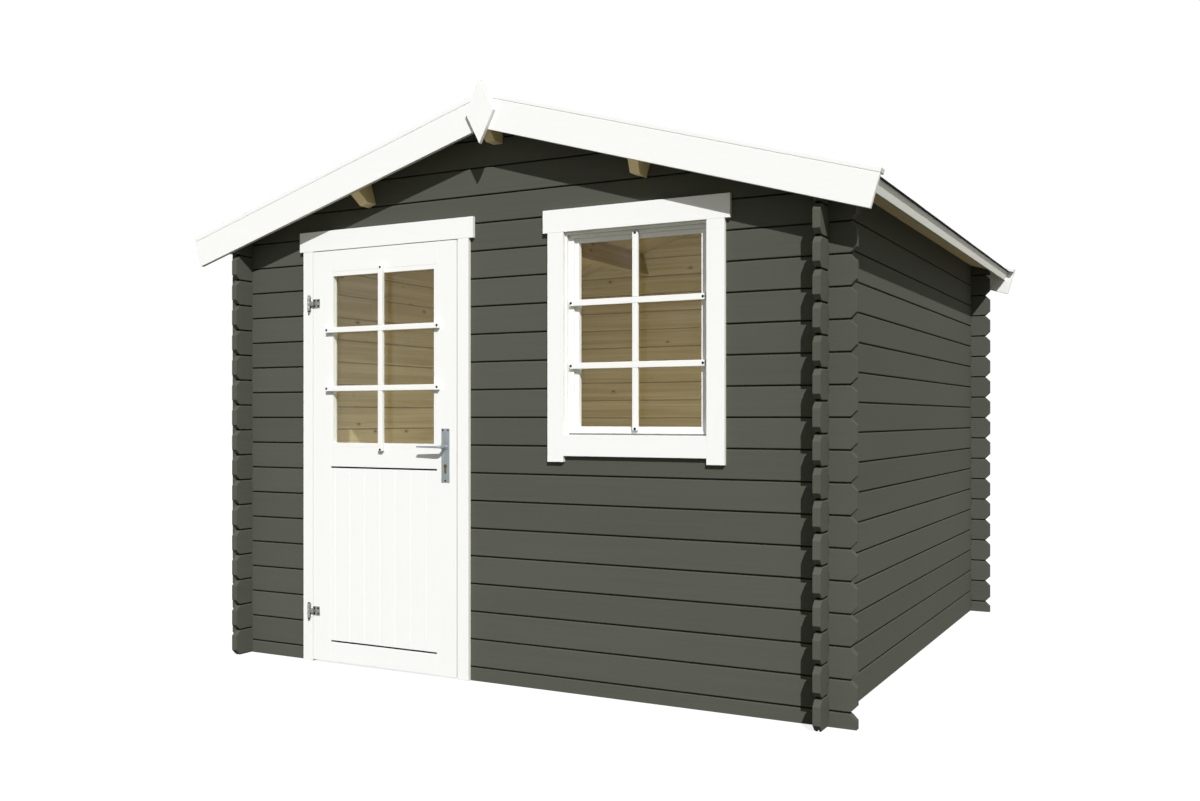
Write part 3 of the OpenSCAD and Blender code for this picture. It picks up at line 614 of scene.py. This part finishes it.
def felt_courses(side):
    """The sheets of one slope: a starter at the eave, a lower one over it and an upper one to the ridge."""
    climb = 0.02
    top_gap = 0.02
    lip = 0.001
    start = EAVE_X - FELT_START
    starter = spread(start, felt_edge, FELT_BED)
    lower = spread(felt_mid, start - climb, FELT_BED)
    lower += spread(start, felt_edge + lip, FELT_OVER)
    upper = spread(top_gap, felt_mid - climb, FELT_BED)
    upper += spread(felt_mid, felt_mid + FELT_LAP, FELT_OVER, 3)
    return [[(side * x, lift) for x, lift in course] for course in (starter, lower, upper)]


def roof_felt():
    """Sheets that lap down the slope, and a cap over the ridge."""
    bm = bmesh.new()
    for side in (1, -1):
        for course in felt_courses(side):
            felt_sheet(bm, course)
    wing = spread(RIDGE_CAP, 0.0, FELT_OVER, 5)
    felt_sheet(bm, [(-x, lift) for x, lift in wing[:-1]] + wing[::-1])
    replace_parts(piece("roof_felt.sheets", bm, "felt", "roof_felt", "shed"), "roof_felt")


def felt_nails():
    """Flat-headed nails along the laps, the ridge cap and the eaves."""
    pitch = 0.14
    radius = 0.0045
    inset = 0.02
    verge_inset = 0.08
    bed = FELT_T * 2.2
    head = [(radius, 0.0), (radius, 0.0008), (radius * 0.7, 0.0013), (0.0004, 0.0014)]
    count = int(2 * (VERGE_Y - verge_inset) / pitch)
    bm = bmesh.new()
    for side in (1, -1):
        for edge in (felt_mid + FELT_LAP, RIDGE_CAP, EAVE_X):
            x, z = on_slope(edge - inset, bed, side)
            for i in range(count + 1):
                y = (i - count / 2) * pitch
                spot = Matrix.Translation((x, y, z)) @ Matrix.Rotation(side * PITCH, 4, "Y")
                turned(bm, head, spot, 10)
    piece("felt_nails", bm, "screw", "steel", "shed", smooth=True)


roof_felt()
felt_nails()

# Doorway, window surround and floor

for node in ("door_hinge_jamb", "door_latch_jamb", "door_side_casings", "door_inner_casings",
             "window_side_casings", "window_frame"):
    eased(node, "white_z")
for node in ("door_head", "door_head_casing", "window_head_casing", "window_apron"):
    eased(node, "white_x")
eased("window_glass", "glass", FINE_ARRIS)
eased("door_threshold", "pine_x", BROAD_ARRIS)
eased("floor_bearers", "pine_x")


def window_sash():
    """The sash, with the step and bevel round its light cut to one deeper level."""
    step = 0.0045
    bevel = 0.009
    deep = 0.009
    slant = 0.05
    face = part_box("window_sash")[0].y

    def recut(bm):
        for corner in bm.verts:
            for level in (step, step + bevel):
                if abs(corner.co.y - face - level) < FINE_ARRIS:
                    corner.co.y = face + deep + level * slant
                    break
    eased("window_sash", "white_z", FINE_ARRIS, shape=recut)


def floor_boards():
    """Boards from front to back, cut short where the doorway's inner casings stand."""
    cover = 0.096
    gap = 0.0008
    room = 0.004
    lo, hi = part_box("floor_boards")
    casing_lo, casing_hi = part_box("door_inner_casings")
    count = math.ceil((hi.x - lo.x) / cover)
    bm = bmesh.new()
    for i in range(count):
        x0 = lo.x + i * cover + gap
        x1 = min(lo.x + (i + 1) * cover - gap, hi.x)
        by_door = x1 > casing_lo.x - room and x0 < casing_hi.x + room
        y0 = casing_hi.y + room if by_door else lo.y
        block(bm, (x0, y0, lo.z), (x1, hi.y, hi.z))
    round_arrises(bm, ARRIS)
    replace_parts(piece("floor_boards.laid", bm, "pine_y", "bare_pine", "shed"), "floor_boards")


window_sash()
floor_boards()

# Door leaf

leaf_lo, leaf_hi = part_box("door_stiles")


def up_to_frame(bm):
    """Brings the top and the hinge side of the leaf close up to the frame."""
    closer = 0.002
    for corner in bm.verts:
        if corner.co.z > leaf_hi.z - FINE_ARRIS:
            corner.co.z += closer
        if corner.co.x < leaf_lo.x + FINE_ARRIS:
            corner.co.x -= closer


eased("door_stiles", "white_z", shape=up_to_frame)
eased("door_rails", "rail_white", shape=up_to_frame)
eased("door_panel", "panel_white", FINE_ARRIS)
eased("door_beads", "white_z", FLUSH_ARRIS)
eased("door_glass", "glass", FINE_ARRIS)


def pin_head(bm, x, y, z):
    """The dark round head of a panel pin."""
    radius = 0.0054
    outline = [(radius, -0.001), (radius, 0.0003), (radius * 0.6, 0.0009), (0.0003, 0.0011)]
    turned(bm, outline, facing_out(x, y, z), 12)


def glazing_bars(name, ends, rows, front, back, body):
    """Two bars across and one upright, planted over a light and pinned at the ends."""
    half = 0.012
    pin_in = 0.006
    left, right, low, high = ends
    middle = (left + right) / 2
    bm = bmesh.new()
    pins = bmesh.new()
    for z in rows:
        block(bm, (left, front, z - half), (right, back, z + half))
        for x in (left + pin_in, right - pin_in):
            pin_head(pins, x, front, z)
    stops = [low, rows[0] - half, rows[0] + half, rows[1] - half, rows[1] + half, high]
    for bottom, top in zip(stops[0::2], stops[1::2]):
        block(bm, (middle - half, front, bottom), (middle + half, back, top))
    for z in (low + pin_in, high - pin_in):
        pin_head(pins, middle, front, z)
    round_arrises(bm, BROAD_ARRIS)
    piece(name, bm, "white_z", "white_paint", body)
    piece(name + "_pins", pins, "iron", "steel", body, smooth=True)


def thirds(lo, hi):
    return [lo.z + (hi.z - lo.z) * share for share in (1 / 3, 2 / 3)]


def door_bars():
    """Bars on the face of the leaf, that lap over the beads onto the stiles and rails."""
    depth = 0.017
    side, low, high = 0.0165, 0.014, 0.009
    lo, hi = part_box("door_beads")
    ends = (lo.x - side, hi.x + side, lo.z - low, hi.z + high)
    glazing_bars("door_glazing_bars", ends, thirds(lo, hi), leaf_lo.y - depth, leaf_lo.y, "door")


def window_bars():
    """Bars on the face of the sash."""
    depth = 0.013
    side, low, high = 0.0163, 0.026, 0.0142
    sash_lo, sash_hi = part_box("window_sash")
    lo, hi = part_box("window_frame")
    middle = (lo.x + hi.x) / 2
    reach = (sash_hi.x - sash_lo.x) / 2 - side
    ends = (middle - reach, middle + reach, sash_lo.z + low, sash_hi.z - high)
    rows = thirds(*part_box("window_glass"))
    glazing_bars("window_glazing_bars", ends, rows, sash_lo.y - depth, sash_lo.y, "shed")


door_bars()
window_bars()

# Hinges, lock plates and lever handle

HINGE_CAD_H = 0.075
HINGE_SHARE = 0.86
hinge_lo, hinge_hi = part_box("hinge_plates")
hinge_middles = (hinge_lo.z + HINGE_CAD_H / 2, hinge_hi.z - HINGE_CAD_H / 2)


def squat(bm):
    """Makes each hinge a little shorter about its middle."""
    for corner in bm.verts:
        middle = min(hinge_middles, key=lambda z: abs(corner.co.z - z))
        corner.co.z = middle + (corner.co.z - middle) * HINGE_SHARE


eased("hinge_plates", "zinc", STEEL_ARRIS, smooth=True, shape=squat)
eased("hinge_leaves", "zinc", STEEL_ARRIS, smooth=True, shape=squat)
eased("lock_plates", "steel", PLATE_ARRIS, smooth=True)


def screw_head(bm, x, y, z, radius, way=-1):
    """A domed screw with a cross cut into it."""
    spot = facing_out(x, y, z, way)
    height = radius * 0.42
    sink = height * 0.2
    slot = radius * 0.16
    slot_floor = height * 0.1
    body = radius * 0.98
    fall = 0.75
    steps = 8
    rim = [math.pi / 2 * i / steps for i in range(steps + 1)]
    foot = [(slot, slot)]
    for t in rim:
        foot.append((max(radius * math.cos(t), slot), max(radius * math.sin(t), slot)))
    for quarter in range(4):
        turn = spot @ Matrix.Rotation(quarter * math.pi / 2, 4, "Z")
        ring = [turn @ Vector((px, py, -sink)) for px, py in foot]
        crown = []
        for px, py in foot:
            far = math.hypot(px, py) / radius
            crown.append(turn @ Vector((px, py, height * (1 - fall * far * far))))
        prism(bm, ring, crown)
    turned(bm, [(body, -sink), (body, slot_floor), (0.0002, slot_floor)], spot, 16)


def hinge_trim():
    """Four screws in each plate on the leaf, and a dark pin that shows above and below each barrel."""
    inset = 0.008
    radius = 0.005
    plate_t = 0.003
    plate_cad_h = 0.046
    knob = 0.0055
    knob_h = 0.005
    joint = next(row for row in frame["joints"] if row["name"] == "door_swing")
    pin_x, pin_y = joint["pos_m"][0], joint["pos_m"][1]
    height = HINGE_CAD_H * HINGE_SHARE
    plate_h = plate_cad_h * HINGE_SHARE
    plate_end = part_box("hinge_leaves")[1].x
    screws = bmesh.new()
    knobs = bmesh.new()
    outline = [(knob, -0.0005), (knob, knob_h - 0.0015), (knob * 0.75, knob_h - 0.0004), (0.0006, knob_h)]
    for middle in hinge_middles:
        for x in (leaf_lo.x + inset, plate_end - inset):
            for z in (middle - plate_h / 2 + inset, middle + plate_h / 2 - inset):
                screw_head(screws, x, leaf_lo.y - plate_t, z, radius)
        for way in (1, -1):
            spot = Matrix.Translation((pin_x, pin_y, middle + way * height / 2))
            turned(knobs, [(r, way * h) for r, h in outline], spot, 18)
    piece("hinge_leaf_screws", screws, "screw", "steel", "door")
    piece("hinge_pin_knobs", knobs, "screw", "steel", "shed", smooth=True)


def lock_trim():
    """Screws and the keyed cylinder, on both lock plates."""
    lo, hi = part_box("lock_plates")
    middle = (lo.x + hi.x) / 2
    inset_x = 0.0065
    inset_z = 0.007
    radius = 0.0042
    key_z = 0.889
    barrel = 0.0082
    web = 0.0048
    drop = 0.027
    proud = 0.0008
    sunk = 0.0004
    key_half = 0.0011
    key_low = key_z - 0.0075
    key_high = key_z + 0.003
    high = hi.z - inset_z
    places = [(lo.x + inset_x, high), (hi.x - inset_x, high), (middle, lo.z + inset_z)]
    start = math.asin(web / barrel)
    turns = [start + (2 * math.pi - 2 * start) * i / 24 for i in range(25)]
    outline = [(barrel * math.sin(t), barrel * -math.cos(t)) for t in turns]
    foot = [math.pi * i / 10 for i in range(11)]
    outline += [(-web * math.cos(t), -drop - web * math.sin(t)) for t in foot]
    screws = bmesh.new()
    cylinder = bmesh.new()
    keyway_shade = bmesh.new()
    for face, way in ((lo.y, -1), (hi.y, 1)):
        for x, z in places:
            screw_head(screws, x, face, z, radius, way)
        near = [(middle + px, face - way * sunk, key_z + pz) for px, pz in outline]
        far = [(middle + px, face + way * proud, key_z + pz) for px, pz in outline]
        prism(cylinder, near, far)
        y0, y1 = sorted((face, face + way * proud * 1.2))
        # painted shade: a thin dark steel block proud of the cylinder stands in for the shade inside the key slot
        block(keyway_shade, (middle - key_half, y0, key_low), (middle + key_half, y1, key_high))
    piece("lock_screws", screws, "screw", "steel", "door")
    piece("lock_cylinder", cylinder, "brass", "steel", "door")
    piece("lock_keyway", keyway_shade, "screw", "steel", "door")


def oval(centre, side, up, wide, tall, power, steps=24):
    """A ring like a rounded rectangle, wide along side and tall along up."""
    ring = []
    for i in range(steps):
        turn = 2 * math.pi * i / steps
        c, s = math.cos(turn), math.sin(turn)
        px = math.copysign(abs(c) ** (2 / power), c) * wide
        py = math.copysign(abs(s) ** (2 / power), s) * tall
        ring.append(centre + side * px + up * py)
    return ring


def lever_pair():
    """Two levers on one spindle: a round neck that bends into a blade, thinner and narrower to its tip."""
    joint = next(row for row in frame["joints"] if row["name"] == "handle_turn")
    pivot = Vector((joint["pos_m"][0], 0.0, joint["pos_m"][2]))
    lo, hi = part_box("lever_handle")
    up = Vector((0, 0, 1))
    left = Vector((-1, 0, 0))
    bend = 0.012
    bend_steps = 6
    neck = 0.0076
    neck_foot = 0.004
    neck_waist = 0.02
    blade = 0.0098
    blade_in = 0.010
    blade_steps = 8
    tip = 0.006
    tip_x = lo.x + 0.003
    tip_round = ((0.0012, 0.92), (0.0022, 0.72), (0.0029, 0.35))
    thick = 0.0048
    thin = 0.0032
    collar = [(0.0112, 0.0029), (0.0112, 0.0052), (0.0104, 0.006), (neck, 0.0062)]
    spindle = [(0.0046, -0.021), (0.0046, 0.021)]
    bm = bmesh.new()
    for face, reach, way in ((leaf_lo.y, lo.y, -1), (leaf_hi.y, hi.y, 1)):
        out = Vector((0, way, 0))
        blade_y = reach - way * blade_in
        rings = []
        for y in (face + way * neck_foot, face + way * neck_waist, blade_y - way * bend):
            rings.append(oval(pivot + Vector((0, y, 0)), left, up, neck, neck, 2.0))
        for i in range(1, bend_steps + 1):
            share = i / bend_steps
            turn = math.pi / 2 * share
            x = -bend * (1 - math.cos(turn))
            y = blade_y - way * bend * (1 - math.sin(turn))
            side = left * math.cos(turn) - out * math.sin(turn)
            wide = neck + (blade - neck) * share
            tall = neck + (thick - neck) * share
            rings.append(oval(pivot + Vector((x, y, 0)), side, up, wide, tall, 2 + share))
        start = pivot.x - bend
        for i in range(1, blade_steps + 1):
            share = i / blade_steps
            centre = Vector((start + (tip_x - start) * share, blade_y, pivot.z))
            wide = blade + (tip - blade) * share
            tall = thick + (thin - thick) * share
            rings.append(oval(centre, -out, up, wide, tall, 3.0))
        for step, shrink in tip_round:
            centre = Vector((tip_x - step, blade_y, pivot.z))
            rings.append(oval(centre, -out, up, tip * shrink, thin * shrink, 2.6))
        loft(bm, rings)
        turned(bm, collar, facing_out(pivot.x, face, pivot.z, way), 28)
    turned(bm, spindle, facing_out(pivot.x, (leaf_lo.y + leaf_hi.y) / 2, pivot.z), 16)
    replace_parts(piece("lever_handle.pair", bm, "steel", "steel", "handle", smooth=True), "lever_handle")


hinge_trim()
lock_trim()
lever_pair()


# Floor, light and camera

def plain_floor():
    """A pale floor that is white to the eye and keeps a soft shadow; for other light it is mid grey."""
    size = 60.0
    glow = 0.84
    below = 0.0005
    f = Finish("plain_floor")
    dull = f.add("ShaderNodeBsdfDiffuse", None, {"Color": FLOOR_BOUNCE})
    pale = f.add("ShaderNodeEmission", None, {"Color": WHITE, "Strength": glow})
    veil = f.add("ShaderNodeBsdfDiffuse", None, {"Color": FLOOR_VEIL})
    bright = f.add("ShaderNodeAddShader", None, {0: pale, 1: veil})
    finish = f.show(f.add("ShaderNodeMixShader", None, {0: f.looked_at(), 1: dull, 2: bright}))
    bm = bmesh.new()
    bmesh.ops.create_grid(bm, x_segments=1, y_segments=1, size=size / 2)
    mesh = bpy.data.meshes.new("plain_floor")
    bm.to_mesh(mesh)
    bm.free()
    mesh.materials.append(finish)
    floor = bpy.data.objects.new("plain_floor", mesh)
    floor.location.z = -below
    bpy.context.scene.collection.objects.link(floor)


def white_sky():
    """White where it is looked at, and a low even light for everything else."""
    world = bpy.data.worlds.new("white_sky")
    bpy.context.scene.world = world
    f = Finish("white_sky", world)
    colour = f.mix(f.looked_at(), SKY_LIGHT, WHITE)
    sky = f.add("ShaderNodeBackground", None, {"Color": colour, "Strength": 1.0})
    f.add("ShaderNodeOutputWorld", None, {"Surface": sky})


def sun(name, travel, strength, softness):
    lamp = bpy.data.lights.new(name, "SUN")
    lamp.energy = strength
    lamp.angle = math.radians(softness)
    thing = bpy.data.objects.new(name, lamp)
    thing.rotation_euler = Vector(travel).to_track_quat("-Z", "Y").to_euler()
    bpy.context.scene.collection.objects.link(thing)


def room_lamp():
    """A broad dim lamp inside by the front wall, so that the pine shows through the panes."""
    lamp = bpy.data.lights.new("room_lamp", "AREA")
    lamp.shape = "RECTANGLE"
    lamp.size = 1.2
    lamp.size_y = 0.5
    lamp.energy = 23.5
    thing = bpy.data.objects.new("room_lamp", lamp)
    thing.location = (0.1, -1.05, 0.32)
    thing.rotation_euler = Vector((-0.3, 1.0, -0.2)).to_track_quat("-Z", "Y").to_euler()
    thing.visible_camera = False
    thing.visible_glossy = False
    thing.visible_transmission = False
    bpy.context.scene.collection.objects.link(thing)


def photo_camera():
    """Level, a little over a metre up, looking at the front right corner."""
    photo_width = 1200
    horizon_shift = 17.5
    side_shift = 0.9
    camera = bpy.data.cameras.new("photo_camera")
    camera.sensor_fit = "HORIZONTAL"
    camera.sensor_width = 36.0
    camera.lens = 34.2
    camera.shift_x = side_shift / photo_width
    camera.shift_y = horizon_shift / photo_width
    thing = bpy.data.objects.new("photo_camera", camera)
    thing.location = (2.5697, -5.3224, 1.0911)
    thing.rotation_euler = (math.pi / 2, 0.0, math.radians(28.0815))
    bpy.context.scene.collection.objects.link(thing)
    bpy.context.scene.camera = thing


plain_floor()
white_sky()
sun("key_sun", (-0.475, 0.633, -0.61), 4.05, 0.7)
sun("fill_sun", (0.5, -0.62, -0.6), 1.4, 25.0)
room_lamp()
photo_camera()
bpy.context.scene.view_settings.view_transform = "Standard"
